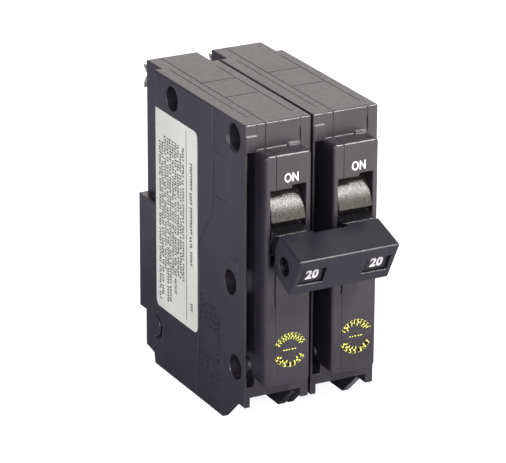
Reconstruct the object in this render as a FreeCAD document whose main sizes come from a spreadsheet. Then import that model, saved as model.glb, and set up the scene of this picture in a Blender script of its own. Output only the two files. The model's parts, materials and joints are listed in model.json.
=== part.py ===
import FreeCAD, Part
import math
import os
import re

import Sketcher
from FreeCAD import Placement, Rotation, Vector

# Two-pole plug-on circuit breaker with a common handle tie, in millimetres.
# +X runs across the poles, +Y runs towards the panel, +Z points to the line end.
# The origin lies on the rear seating plane, midway between the poles.
# One pole is drawn in its own frame, whose X starts at the pole's left side, and every
# sub-part is then carried to its pole by its Placement.

DRIVING = {
    # whole pole
    "pole_width": 18.65,
    "half_gap": 0.2,
    "mid_x": 9.3,
    "joint_x": 5.8,
    "wall": 1.7,
    "case_depth": 60.0,
    "case_top": 37.0,
    "case_bottom": 45.6,
    "edge_round": 0.4,
    # side outline
    "tooth_z": 38.7,
    "ramp_top_y": 55.5,
    "toe_y": 48.1,
    "heel_y": 9.0,
    "heel_z": 42.7,
    "foot_y": 3.8,
    "foot_z": 42.0,
    "seat_bottom": 32.0,
    "ledge_z": 0.1,
    "rear_step": 1.2,
    "inset_x": 2.1,
    "inset_y": 10.0,
    # nose that carries the window
    "nose_left": 3.0,
    "nose_right": 15.7,
    "nose_depth": 5.7,
    "nose_top": 30.2,
    "nose_bottom": 31.6,
    "nose_round": 0.6,
    "nose_corner": 1.3,
    "nose_shoulder": 0.9,
    "window_left": 4.15,
    "window_right": 14.25,
    "window_half": 10.0,
    "window_step": 0.8,
    "window_step_x": 10.2,
    # grooves beside the nose
    "skirt": 0.7,
    "groove_depth": 6.4,
    "groove_top": 29.9,
    "groove_right_top": 27.4,
    "groove_bottom": 33.2,
    "chamber_ceiling": 36.1,
    "seam": 0.2,
    "panel_step": 0.18,
    # rivet holes
    "rivet_radius": 1.4,
    "rivet_bore": 1.5,
    "rivet_head": 2.7,
    "rivet_head_height": 1.2,
    "counterbore": 3.35,
    "counterbore_depth": 4.3,
    # handle and tie
    "pivot_y": 56.0,
    "pivot_z": 11.0,
    "throw_half": 22.5,
    "barrel_radius": 10.4,
    "barrel_room": 10.8,
    "barrel_left": 4.4,
    "barrel_right": 14.0,
    "trunnion_radius": 2.2,
    "bearing_radius": 2.26,
    "neck_half": 3.4,
    "neck_reach": 11.2,
    "lip_half": 5.5,
    "tongue_half": 3.3,
    "tongue_reach": 22.4,
    "tongue_centre": 9.33,
    "tongue_width": 7.9,
    "lug_reach": 7.5,
    "lug_pin": 1.3,
    "arm_slot_left": 7.7,
    "arm_slot_right": 10.9,
    "tie_half_length": 14.15,
    "tie_bore": 2.5,
    "tie_pin_radius": 2.42,
    "tie_bore_reach": 17.8,
    "tie_bore_drop": 0.9,
    "rating_offset": 9.1,
    "rating_width": 7.3,
    # contact system
    "arm_thick": 2.4,
    "arm_half": 1.6,
    "arm_reach": 26.8,
    "arm_tilt": 7.8,
    "contact_radius": 1.8,
    "contact_height": 1.2,
    "fixed_contact_y": 22.2,
    "fixed_contact_z": 6.5,
    "strap_thick": 1.2,
    "spring_radius": 1.7,
    "spring_wire": 0.35,
    "spring_pitch": 0.95,
    "spring_length": 8.55,
    "braid_radius": 0.9,
    "plate_count": 6.0,
    "plate_pitch": 2.5,
    # trip unit
    "cradle_y": 14.0,
    "cradle_z": 3.0,
    "cradle_pin": 1.6,
    "armature_y": 36.0,
    "armature_z": 28.0,
    "trip_bar_y": 43.3,
    "trip_bar_z": 14.0,
    "trip_bar_radius": 1.5,
    "trip_bore": 1.58,
    # load terminal
    "screw_z": 40.3,
    "screw_radius": 1.75,
    "screw_head": 3.4,
    "screw_front": 44.9,
    "plate_front": 42.4,
    "strap_front": 35.4,
}

doc = FreeCAD.newDocument("plug_on_breaker")
sheet = doc.addObject("Spreadsheet::Sheet", "Dims")
for row, (alias, size) in enumerate(DRIVING.items(), start=1):
    sheet.set(f"A{row}", alias)
    sheet.set(f"B{row}", str(size))
    sheet.setAlias(f"B{row}", alias)
doc.recompute()

subparts = []

# Local axes of a sketch on each plane: its first axis, its second axis, its normal.
PLANES = {
    "yz": ("x", Rotation(Vector(0, 1, 0), Vector(0, 0, 1), Vector(1, 0, 0), "ZXY")),
    "xz": ("y", Rotation(Vector(1, 0, 0), Vector(0, 0, 1), Vector(0, -1, 0), "ZXY")),
    "xy": ("z", Rotation()),
}
ORIGIN_ROLE = {"yz": "YZ_Plane", "xz": "XZ_Plane", "xy": "XY_Plane"}
ROD_TURN = {
    "x": Rotation(Vector(0, 1, 0), 90),
    "y": Rotation(Vector(1, 0, 0), -90),
    "z": Rotation(),
}


def formula(text):
    """Write sheet aliases as FreeCAD expects them, leaving function names alone."""
    return re.sub(r"[a-z_]{3,}\b(?!\()", r"Dims.\g<0>", str(text))


def bind(thing, prop, text):
    thing.setExpression(prop, formula(text))


def size_of(alias):
    return float(sheet.get(alias))


def box(name, x, y, z):
    """A block between two formulas on each axis."""
    block = doc.addObject("Part::Box", name)
    spans = zip(("Length", "Width", "Height"), ("x", "y", "z"), (x, y, z))
    for prop, axis, (low, high) in spans:
        bind(block, prop, f"({high}) - ({low})")
        bind(block, f"Placement.Base.{axis}", low)
    return block


def place_round(thing, axis, start, centre):
    """Turn a round primitive onto an axis and bind its centre line."""
    thing.Placement = Placement(Vector(), ROD_TURN[axis])
    others = [letter for letter in "xyz" if letter != axis]
    bind(thing, f"Placement.Base.{axis}", start)
    for letter, text in zip(others, centre):
        bind(thing, f"Placement.Base.{letter}", text)
    return thing


def rod(name, axis, radius, span, centre):
    """A round bar along an axis, between the two formulas of its span."""
    bar = doc.addObject("Part::Cylinder", name)
    bind(bar, "Radius", radius)
    bind(bar, "Height", f"({span[1]}) - ({span[0]})")
    return place_round(bar, axis, span[0], centre)


def cone(name, axis, radii, span, centre):
    taper = doc.addObject("Part::Cone", name)
    bind(taper, "Radius1", radii[0])
    bind(taper, "Radius2", radii[1])
    bind(taper, "Height", f"({span[1]}) - ({span[0]})")
    return place_round(taper, axis, span[0], centre)


def pin_point(sketch, geometry, point, place):
    """Hold a sketch point at two formulas, measured from the sketch's origin."""
    for kind, text in zip(("DistanceX", "DistanceY"), place):
        index = sketch.addConstraint(Sketcher.Constraint(kind, -1, 1, geometry, point, 1.0))
        bind(sketch, f"Constraints[{index}]", text)


def draw_polygon(sketch, corners):
    first = sketch.GeometryCount
    count = len(corners)
    ring = [Rotation(Vector(0, 0, 1), 360 * i / count).multVec(Vector(9, 0, 0)) for i in range(count)]
    for i in range(count):
        sketch.addGeometry(Part.LineSegment(ring[i], ring[(i + 1) % count]), False)
    for i in range(count):
        joined = first + (i + 1) % count
        sketch.addConstraint(Sketcher.Constraint("Coincident", first + i, 2, joined, 1))
    for i, corner in enumerate(corners):
        pin_point(sketch, first + i, 1, corner)


def draw_circle(sketch, circle):
    index = sketch.addGeometry(Part.Circle(Vector(1, 1, 0), Vector(0, 0, 1), 1.0), False)
    pin_point(sketch, index, 3, circle[:2])
    radius = sketch.addConstraint(Sketcher.Constraint("Radius", index, 1.0))
    bind(sketch, f"Constraints[{radius}]", circle[2])


def draw(sketch, corners, holes):
    draw_polygon(sketch, corners)
    for hole in holes:
        draw_circle(sketch, hole)


def prism(name, plane, corners, span, holes=()):
    """A sketched outline pulled straight between two positions along its normal."""
    axis, turn = PLANES[plane]
    sketch = doc.addObject("Sketcher::SketchObject", f"{name}_sketch")
    sketch.Placement = Placement(Vector(), turn)
    draw(sketch, corners, holes)
    start = span[1] if plane == "xz" else span[0]
    bind(sketch, f"Placement.Base.{axis}", start)
    solid = doc.addObject("Part::Extrusion", name)
    solid.Base = sketch
    solid.DirMode = "Normal"
    solid.Solid = True
    bind(solid, "LengthFwd", f"({span[1]}) - ({span[0]})")
    return solid


def plate(name, plane, corners, span, holes=()):
    """The same as a PartDesign body, for pieces cut and bent from flat stock."""
    body = doc.addObject("PartDesign::Body", name)
    sketch = body.newObject("Sketcher::SketchObject", f"{name}_sketch")
    origin = [item for item in body.Origin.OriginFeatures if item.Role == ORIGIN_ROLE[plane]]
    sketch.AttachmentSupport = [(origin[0], "")]
    sketch.MapMode = "FlatFace"
    draw(sketch, corners, holes)
    lift = f"-({span[1]})" if plane == "xz" else span[0]
    bind(sketch, "AttachmentOffset.Base.z", lift)
    pad = body.newObject("PartDesign::Pad", f"{name}_pad")
    pad.Profile = sketch
    bind(pad, "Length", f"({span[1]}) - ({span[0]})")
    body.Tip = pad
    return body


def fuse(name, shapes):
    joined = doc.addObject("Part::MultiFuse", name)
    joined.Shapes = shapes
    return joined


def cut(name, base, tools):
    result = doc.addObject("Part::Cut", name)
    result.Base = base
    result.Tool = tools[0] if len(tools) == 1 else fuse(f"{name}_tools", tools)
    return result


def common(name, first, second):
    result = doc.addObject("Part::Common", name)
    result.Base = first
    result.Tool = second
    return result


def round_edges(name, base, radius, chosen):
    """Round the edges that the test picks out by their bounding box."""
    doc.recompute()
    rounded = doc.addObject("Part::Fillet", name)
    rounded.Base = base
    edges = enumerate(base.Shape.Edges, start=1)
    rounded.Edges = [(i, radius, radius) for i, edge in edges if chosen(edge.BoundBox)]
    return rounded


def near(first, second):
    return abs(first - second) < 0.01


def keep(thing, label, side=None, offset="0"):
    """Name a finished sub-part and carry it to its pole."""
    thing.Label = label
    if side == "left":
        bind(thing, "Placement.Base.x", f"-pole_width - half_gap + {offset}")
    if side == "right":
        bind(thing, "Placement.Base.x", f"half_gap + {offset}")
    subparts.append(thing)


def tilt_to_rest(thing):
    """Pieces of the handle are drawn about its pivot, level, and tilted to the OFF stop."""
    thing.Placement = Placement(Vector(), Rotation(Vector(1, 0, 0), 1.0))
    bind(thing, "Placement.Base.y", "-pivot_y")
    bind(thing, "Placement.Base.z", "pivot_z")
    bind(thing, "Placement.Rotation.Angle", "throw_half")


# ---------------------------------------------------------------- case of one pole

# Rivet places on the side of a pole. The two at the top run through both poles.
UPPER_FRONT_RIVET = ("-53.5", "32.1")
LONG_RIVETS = (("-20", "32.1"), UPPER_FRONT_RIVET)
SHORT_RIVETS = (("-52", "-7"), ("-54.9", "-29.2"))

OUTLINE = (
    ("-case_depth", "-tooth_z"),
    ("-ramp_top_y", "-tooth_z"),
    ("-toe_y", "-case_bottom"),
    ("-heel_y", "-case_bottom"),
    ("-heel_y + 0.6", "-heel_z"),
    ("-foot_y", "-foot_z"),
    ("-foot_y", "-seat_bottom"),
    ("0", "-seat_bottom"),
    ("0", "ledge_z"),
    ("-rear_step", "ledge_z"),
    ("-rear_step", "case_top"),
    ("-case_depth", "case_top"),
)

CAVITY = (
    ("-47", "-32.5"),
    ("-47", "34.8"),
    ("-25.5", "34.8"),
    ("-25.5", "27"),
    ("-12.5", "27"),
    ("-12.5", "0.8"),
    ("-10.6", "0.8"),
    ("-10.6", "-2"),
    ("-wall", "-2"),
    ("-wall", "-30.2"),
    ("-5.6", "-30.2"),
    ("-5.6", "-40"),
    ("-10.8", "-43.6"),
    ("-26", "-43.6"),
    ("-26", "-32.5"),
)

# Edge of the slightly lower front panel on a pole's left side.
FRONT_PANEL = (
    ("-case_depth - 1", "case_top + 1"),
    ("-42.5", "case_top + 1"),
    ("-42.5", "10.6"),
    ("-41.2", "6.6"),
    ("-37", "2"),
    ("-34.9", "-2.5"),
    ("-34.6", "-28"),
    ("-33", "-case_bottom - 1"),
    ("-case_depth - 1", "-case_bottom - 1"),
)


def case_blank():
    """The whole pole as one block with its nose, before it is hollowed and parted."""
    block = prism("pole_block", "yz", OUTLINE, ("0", "pole_width"))
    width = size_of("pole_width")
    top = size_of("case_top")

    def is_outer_edge(bounds):
        on_side = bounds.XLength < 0.01
        across_top = near(bounds.XLength, width) and near(bounds.ZMin, top)
        across_toe = near(bounds.XLength, width) and bounds.ZMax < -size_of("tooth_z") - 0.5
        return on_side or across_top or across_toe

    block = round_edges("pole_block_rounded", block, size_of("edge_round"), is_outer_edge)
    nose_y = ("-case_depth - nose_depth", "-case_depth + 1")
    nose = box("nose_block", ("nose_left", "nose_right"), nose_y, ("-nose_bottom", "nose_top"))
    front = -size_of("case_depth") - size_of("nose_depth")

    def is_lower_corner(bounds):
        return near(bounds.ZMax, -size_of("nose_bottom")) and bounds.YLength > 1

    def is_upper_corner(bounds):
        return near(bounds.ZMin, size_of("nose_top")) and bounds.YLength > 1 and bounds.XLength < 0.01

    def is_front_edge(bounds):
        return near(bounds.YMax, front) or (near(bounds.YMin, front) and bounds.YLength < 0.01)

    nose = round_edges("nose_corners", nose, size_of("nose_corner"), is_lower_corner)
    nose = round_edges("nose_shoulders", nose, size_of("nose_shoulder"), is_upper_corner)
    nose = round_edges("nose_rounded", nose, size_of("nose_round"), is_front_edge)
    flange = box("flange_lip", ("0.35", "nose_left + 0.3"), ("-case_depth - 0.35", "-case_depth + 1"),
                 ("groove_top", "groove_top + 4.2"))
    lip = box("stop_lip", ("12", "15.2"), ("-case_depth - 0.6", "-case_depth + 1"),
              ("nose_top - 0.5", "nose_top + 0.6"))
    return fuse("case_blank", [block, nose, flange, lip])


def side_grooves():
    """Deep grooves that leave a thin skirt on each side of the nose, and the rear insets."""
    groove_y = ("-case_depth - 1", "-case_depth + groove_depth")
    left_z = ("-groove_bottom", "groove_top")
    right_z = ("-groove_bottom", "groove_right_top")
    rear = ("-inset_y", "1")
    upper = ("ledge_z", "case_top + 1")
    return [
        box("groove_left", ("skirt", "nose_left"), groove_y, left_z),
        box("groove_right", ("nose_right", "pole_width - skirt"), groove_y, right_z),
        box("inset_left", ("-1", "inset_x"), rear, upper),
        box("inset_right", ("pole_width - inset_x", "pole_width + 1"), rear, upper),
    ]


def seam_lines():
    """Fine moulded lines: the parting joint, the flange edges and the top panels."""
    joint = ("joint_x - seam / 2", "joint_x + seam / 2")
    front = "-case_depth"
    nose_front = "-case_depth - nose_depth"
    above_nose = ("nose_top", "case_top + 1")
    top_skin = ("case_top - seam", "case_top + 1")
    lines = [
        box("joint_top", joint, (front + "- 1", "1"), top_skin),
        box("joint_front", joint, (front + "- 1", front + "+ seam"), above_nose),
        box("joint_nose_top", joint, (nose_front + "- 1", front), ("nose_top - seam", "nose_top + 0.1")),
        box("joint_nose", joint, (nose_front + "- 1", nose_front + "+ seam"),
            ("-nose_bottom - 1", "nose_top")),
        box("joint_gap", ("joint_x - 0.35", "joint_x + seam / 2"),
            (nose_front + "- 1", nose_front + "+ 0.5"), ("-10", "0")),
        box("joint_rear_low", joint, ("-seam", "1"), ("-seat_bottom - 1", "ledge_z")),
        box("joint_rear_high", joint, ("-rear_step - seam", "1"), ("ledge_z", "case_top")),
        box("joint_bottom", joint, ("-33", "-heel_y"), ("-case_bottom - 1", "-case_bottom + seam")),
        box("flange_line_top", ("3.5", "3.7"), ("-55", "-12"), top_skin),
        box("flange_line_front", ("3.3", "3.45"), (front + "- 1", front + "+ seam"), above_nose),
        box("right_line_top", ("15.65", "15.85"), ("-55.5", "-14"), top_skin),
        box("right_line_front", ("15.5", "15.7"), (front + "- 1", front + "+ seam"), above_nose),
        box("right_slit_front", ("15.4", "15.75"), (front + "- 1", front + "+ 1"),
            ("nose_top + 0.6", "34.2")),
    ]
    for y in ("-25.2", "-38.1"):
        lines.append(box("panel_line", ("joint_x", "15.7"), (y, f"{y} + seam"), top_skin))
    return lines


def side_marks(side):
    """Recesses on the left side: front panel, round plug, frame outline and bracket mark."""
    skin = ("-1", "panel_step + 0.12")
    frame_y = ("-51.3", "-43.4")
    frame_z = ("13.5", "25.5")
    plug = rod("plug_recess", "x", "3.3", ("-1", "0.9"), ("-10.4", "-34.6"))
    island = rod("plug_island", "x", "2.9", ("-1", "1.2"), ("-9.4", "-34.6"))
    marks = [
        prism("front_panel", "yz", FRONT_PANEL, ("-1", "panel_step")),
        cut("plug_crescent", plug, [island]),
        box("bracket_mark", skin, ("-55.8", "-50.6"), ("-0.2", "0")),
        box("bracket_leg", skin, ("-56", "-55.8"), ("-8.4", "0")),
    ]
    if side == "left":
        rim = ("panel_step - 0.02", "0.8")
        marks.append(cone("rivet_rim", "x", ("3.95", "3.3"), rim, UPPER_FRONT_RIVET))
    for y in frame_y:
        marks.append(box("frame_upright", skin, (y, f"{y} + 0.2"), frame_z))
    for z in frame_z:
        marks.append(box("frame_rail", skin, (frame_y[0], f"{frame_y[1]} + 0.2"), (z, f"{z} + 0.2")))
    return marks


def rivet_holes(side):
    """Bores through the pole, sunk where a head sits: outside for the long rivets, both sides else."""
    left_recess = ("-1", "counterbore_depth")
    right_recess = ("pole_width - counterbore_depth", "pole_width + 1")
    outer_recess = left_recess if side == "left" else right_recess
    holes = []
    for centre in LONG_RIVETS + SHORT_RIVETS:
        holes.append(rod("rivet_hole", "x", "rivet_bore", ("-1", "pole_width + 1"), centre))
    for centre in LONG_RIVETS:
        holes.append(rod("rivet_recess", "x", "counterbore", outer_recess, centre))
    for centre in SHORT_RIVETS:
        holes.append(rod("rivet_recess", "x", "counterbore", left_recess, centre))
        holes.append(rod("rivet_recess", "x", "counterbore", right_recess, centre))
    return holes


def handle_room():
    """Barrel chamber, window with its stepped top edge, and the trunnion bearings."""
    sides = ("window_left", "window_right")
    centre = ("-pivot_y", "pivot_z")
    mouth_y = ("-case_depth - nose_depth - 1", "-case_depth + 3")
    span_z = ("pivot_z - window_half", "pivot_z + window_half")
    step_z = ("pivot_z", "pivot_z + window_half + window_step")
    return [
        rod("barrel_room", "x", "barrel_room", sides, centre),
        box("window", sides, mouth_y, span_z),
        box("window_raise", ("window_step_x", "window_right"), mouth_y, step_z),
        rod("bearing", "x", "bearing_radius", ("window_left - 0.95", "window_right + 0.95"), centre),
    ]


def trip_bar_bore(side):
    """The common trip bar runs in blind bearings in the two outer walls."""
    span = ("0.8", "pole_width + 1") if side == "left" else ("-1", "pole_width - 0.8")
    return rod("trip_bore", "x", "trip_bore", span, ("-trip_bar_y", "-trip_bar_z"))


def working_spaces():
    """Mechanism cavity, line-jaw channel, wiring chamber and what opens into them."""
    chamber_x = ("wall", "pole_width - 2.25")
    return [
        prism("mechanism_space", "yz", CAVITY, ("wall", "pole_width - wall")),
        box("jaw_channel", ("3.3", "14.9"), ("-14.5", "1"), ("26.5", "36")),
        box("wiring_chamber", chamber_x, ("-case_depth - 1", "-34"),
            ("-case_bottom - 1", "-chamber_ceiling")),
        box("strap_slot", ("3.9", "14.7"), ("-strap_front - 0.2", "-34"), ("-37", "-32")),
        rod("screw_tip_room", "y", "2.2", ("-35", "-27"), ("mid_x", "-screw_z")),
        rod("calibration_bore", "z", "1.55", ("-37", "-32"), ("mid_x", "-38.4")),
    ]


def build_case(side):
    blank = case_blank()
    tools = side_grooves() + seam_lines() + side_marks(side) + rivet_holes(side) + handle_room()
    tools = tools + working_spaces() + [trip_bar_bore(side)]
    hollow = cut("case_hollowed", blank, tools)
    y_span = ("-case_depth - nose_depth - 1", "1")
    z_span = ("-case_bottom - 1", "case_top + 1")
    cover_half = box("cover_half", ("-1", "joint_x"), y_span, z_span)
    base_half = box("base_half", ("joint_x", "pole_width + 1"), y_span, z_span)
    keep(common(f"case_cover_{side}", hollow, cover_half), f"case_cover_{side}", side)
    shell = common("base_shell", hollow, base_half)
    post_span = ("joint_x + 0.2", "pole_width - 1")
    post = rod("cradle_post", "x", "cradle_pin", post_span, ("-cradle_y", "-cradle_z"))
    keep(fuse(f"case_base_{side}", [shell, post]), f"case_base_{side}", side)


# ---------------------------------------------------------------- line end

def build_line_jaw(side):
    """Copper U-clip: two wide leaves with flared lips that grip the panel's stab."""
    profile = (
        ("-12.5", "30.2"),
        ("-3.5", "31.3"),
        ("-0.9", "31.3"),
        ("0.8", "28.8"),
        ("0.8", "30.1"),
        ("-0.4", "32.2"),
        ("-11.6", "32.2"),
        ("-11.6", "33.4"),
        ("-0.4", "33.4"),
        ("0.8", "34.7"),
        ("0.8", "35.8"),
        ("-0.9", "34.3"),
        ("-3.5", "34.3"),
        ("-12.5", "35.4"),
    )
    clip = prism("jaw_clip", "yz", profile, ("inset_x + 0.1", "pole_width - inset_x - 0.1"))
    sides = [
        box("jaw_trim", ("0", "3.6"), ("-20", "-rear_step + 0.2"), ("20", "40")),
        box("jaw_trim", ("14.6", "20"), ("-20", "-rear_step + 0.2"), ("20", "40")),
    ]
    keep(cut(f"line_jaw_{side}", clip, sides), f"line_jaw_{side}", side)


def build_jaw_spring(side):
    """Steel band bent round the jaw that keeps its leaves closed."""
    profile = (
        ("-2", "35.1"),
        ("-2", "34.7"),
        ("-12", "35.65"),
        ("-12.7", "35.65"),
        ("-12.7", "29.85"),
        ("-12", "29.85"),
        ("-2", "30.85"),
        ("-2", "30.45"),
        ("-12", "29.45"),
        ("-13.1", "29.45"),
        ("-13.1", "36"),
        ("-12", "36"),
    )
    spring = plate(f"jaw_spring_{side}", "yz", profile, ("mid_x - 2.5", "mid_x + 2.5"))
    keep(spring, f"jaw_spring_{side}", side)


def build_line_strap(side):
    """Copper strap from the jaw down to the seat of the fixed contact."""
    seat_top = "fixed_contact_z - contact_height"
    profile = (
        ("-13.1 - strap_thick", "35.5"),
        ("-13.1 - strap_thick", seat_top),
        ("-24.6", seat_top),
        ("-24.6", f"{seat_top} - strap_thick"),
        ("-13.1", f"{seat_top} - strap_thick"),
        ("-13.1", "35.5"),
    )
    keep(plate(f"line_strap_{side}", "yz", profile, ("5.4", "13.2")), f"line_strap_{side}", side)


def build_fixed_contact(side):
    """Silver button on its seat."""
    seat = "fixed_contact_z - contact_height"
    centre = ("mid_x", "-fixed_contact_y")
    backing = rod("contact_backing", "z", "contact_radius + 0.5", (seat, f"{seat} + 0.4"), centre)
    facing_span = (f"{seat} + 0.4", "fixed_contact_z")
    facing = rod("contact_facing", "z", "contact_radius + 0.2", facing_span, centre)
    keep(fuse(f"fixed_contact_{side}", [backing, facing]), f"fixed_contact_{side}", side)


def build_arc_chute(side):
    """Steel splitter plates held between two fibre cheeks beside the contacts."""
    plates = []
    for i in range(int(size_of("plate_count"))):
        low = f"9.4 + {i} * plate_pitch"
        blade = box("splitter", ("3.3", "15.3"), ("-19.6", "-15"), (low, f"{low} + 0.9"))
        notch = box("splitter_notch", ("mid_x - 2", "mid_x + 2"), ("-21", "-17.6"),
                    (low + "- 1", low + "+ 2"))
        plates.append(cut("splitter_plate", blade, [notch]))
    keep(fuse(f"arc_plates_{side}", plates), f"arc_plates_{side}", side)
    cheeks = []
    for low, high in (("2.3", "3.25"), ("15.35", "16.3")):
        cheeks.append(box("chute_cheek", (low, high), ("-21", "-15"), ("8.6", "24.2")))
    keep(fuse(f"arc_chute_cheeks_{side}", cheeks), f"arc_chute_cheeks_{side}", side)


# ---------------------------------------------------------------- switching mechanism

def build_handle(side):
    """Barrel on two trunnions, a neck to the tie, and a fork that drives the contact arm."""
    pivot = ("0", "0")
    barrel = rod("barrel", "x", "barrel_radius", ("barrel_left", "barrel_right"), pivot)
    barrel = round_edges("barrel_rounded", barrel, 0.35, lambda bounds: bounds.XLength < 0.01)
    solids = [
        barrel,
        rod("trunnion", "x", "trunnion_radius", ("window_left - 0.8", "window_right + 0.8"), pivot),
        box("neck", ("barrel_left + 0.3", "barrel_right - 0.3"), ("-neck_reach", "-6"),
            ("-neck_half", "neck_half")),
        box("tongue", ("tongue_centre - tongue_width / 2", "tongue_centre + tongue_width / 2"),
            ("-tongue_reach", "-neck_reach + 0.2"), ("-tongue_half", "tongue_half")),
    ]
    undercut_y = ("-12", "-7.6")
    cutters = [
        box("lip_undercut", ("0", "20"), undercut_y, ("neck_half", "lip_half")),
        box("lip_undercut", ("0", "20"), undercut_y, ("-lip_half", "-neck_half")),
        box("arm_slot", ("arm_slot_left", "arm_slot_right"), ("3.4", "12"), ("-12", "12")),
        rod("tie_hole", "x", "tie_bore", ("0", "20"), ("-tie_bore_reach", "-tie_bore_drop")),
    ]
    body = cut("handle_body", fuse("handle_solids", solids), cutters)
    pin = rod("lug_pin", "x", "lug_pin", ("arm_slot_left - 1", "arm_slot_right + 1"), ("lug_reach", "0"))
    handle = fuse(f"handle_{side}", [body, pin])
    tilt_to_rest(handle)
    keep(handle, f"handle_{side}", side)


def build_handle_tie():
    """Hollow bar that caps both handles, with a rating window in front of each."""
    profile = (("-12.6", "4.7"), ("-23.9", "5.7"), ("-22.6", "-6.5"), ("-13.6", "-5.6"), ("-11.7", "0.8"))
    bar = prism("tie_bar", "yz", profile, ("-tie_half_length", "tie_half_length"))
    bar = round_edges("tie_rounded", bar, 0.45, lambda bounds: True)
    cutters = [
        rod("tie_through_bore", "x", "tie_bore", ("-20", "20"), ("-tie_bore_reach", "-tie_bore_drop")),
        box("tie_notch", ("-4.9", "4.9"), ("-13.6", "-11"), ("-8", "8")),
    ]
    for shift, centre in (("-pole_width - half_gap", "-rating_offset"), ("half_gap", "rating_offset")):
        pocket_x = (f"{shift} + tongue_centre - 4.1", f"{shift} + tongue_centre + 4.1")
        window_x = (f"{centre} - rating_width / 2", f"{centre} + rating_width / 2")
        cutters.append(box("tie_pocket", pocket_x, ("-tongue_reach - 0.05", "-10"), ("-3.5", "3.5")))
        cutters.append(box("tie_window", window_x, ("-25", "-20"), ("-3.2", "2.1")))
    tie = cut("handle_tie", bar, cutters)
    tilt_to_rest(tie)
    keep(tie, "handle_tie")
    pin = rod("tie_pin", "x", "tie_pin_radius", ("-10.5", "10.5"),
              ("-pivot_y - tie_bore_reach * cos(throw_half) + tie_bore_drop * sin(throw_half)",
               "pivot_z - tie_bore_reach * sin(throw_half) - tie_bore_drop * cos(throw_half)"))
    keep(pin, "tie_pin")


def place_on_arm(thing):
    """Pieces of the contact arm are drawn level about its hub and tilted to the open position."""
    thing.Placement = Placement(Vector(), Rotation(Vector(1, 0, 0), 1.0))
    bind(thing, "Placement.Base.y", "-pivot_y + lug_reach * cos(throw_half)")
    bind(thing, "Placement.Base.z", "pivot_z + lug_reach * sin(throw_half)")
    bind(thing, "Placement.Rotation.Angle", "arm_tilt")


def build_contact_arm(side):
    """Flat copper arm that turns on the handle's lug pin, with its silver contact."""
    across = ("mid_x - arm_thick / 2", "mid_x + arm_thick / 2")
    hub = rod("arm_hub", "x", "2.8", across, ("0", "0"))
    profile = (
        ("0", "-arm_half"),
        ("arm_reach + 1.7", "-arm_half"),
        ("arm_reach + 1.7", "arm_half"),
        ("9", "arm_half"),
        ("6", "arm_half + 1.2"),
        ("0", "arm_half + 0.6"),
    )
    blade = prism("arm_blade", "yz", profile, across)
    seat = box("arm_seat", ("mid_x - 2.4", "mid_x + 2.4"), ("arm_reach - 2", "arm_reach + 1.7"),
               ("-arm_half", "-arm_half + 1.2"))
    bore = rod("arm_bore", "x", "lug_pin + 0.08", ("0", "20"), ("0", "0"))
    arm = cut(f"contact_arm_{side}", fuse("arm_solids", [hub, blade, seat]), [bore])
    place_on_arm(arm)
    keep(arm, f"contact_arm_{side}", side)

    centre = ("mid_x", "arm_reach - 0.1")
    backing = rod("contact_backing", "z", "contact_radius + 0.2", ("-arm_half - 0.3", "-arm_half"), centre)
    facing_span = ("-arm_half - contact_height", "-arm_half - 0.3")
    facing = rod("contact_facing", "z", "contact_radius", facing_span, centre)
    button = fuse(f"moving_contact_{side}", [backing, facing])
    place_on_arm(button)
    keep(button, f"moving_contact_{side}", side)


def build_cradle(side):
    """Trip lever on the case post; its nose waits behind the armature's hook."""
    profile = (
        ("-cradle_y + 2.5", "-cradle_z - 2.6"),
        ("-cradle_y + 2.5", "-cradle_z + 2.6"),
        ("-28", "-cradle_z + 2.4"),
        ("-30.5", "-cradle_z + 3.6"),
        ("-32", "-cradle_z + 2"),
        ("-34.8", "-cradle_z + 1"),
        ("-34.8", "-cradle_z - 1.6"),
        ("-26", "-cradle_z - 2.6"),
    )
    across = ("mid_x - 1.2", "mid_x + 1.2")
    holes = [("-cradle_y", "-cradle_z", "cradle_pin + 0.08")]
    keep(plate(f"cradle_{side}", "yz", profile, across, holes), f"cradle_{side}", side)


def build_toggle_spring(side):
    """Extension coil between the cradle and the contact arm."""
    coil_radius = size_of("spring_radius")
    wire_radius = size_of("spring_wire")
    helix = Part.makeHelix(size_of("spring_pitch"), size_of("spring_length"), coil_radius)
    section = Part.Circle(Vector(coil_radius, 0, 0), Vector(0, 1, 0), wire_radius).toShape()
    spring = doc.addObject("Part::Feature", f"toggle_spring_{side}")
    spring.Shape = Part.Wire(helix).makePipeShell([Part.Wire(section)], True, True)
    spring.Placement = Placement(Vector(), Rotation(Vector(1, 0, 0), 12))
    bind(spring, "Placement.Base.y", "-31.3")
    bind(spring, "Placement.Base.z", "2")
    keep(spring, f"toggle_spring_{side}", side, "mid_x")


# ---------------------------------------------------------------- trip unit

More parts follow.
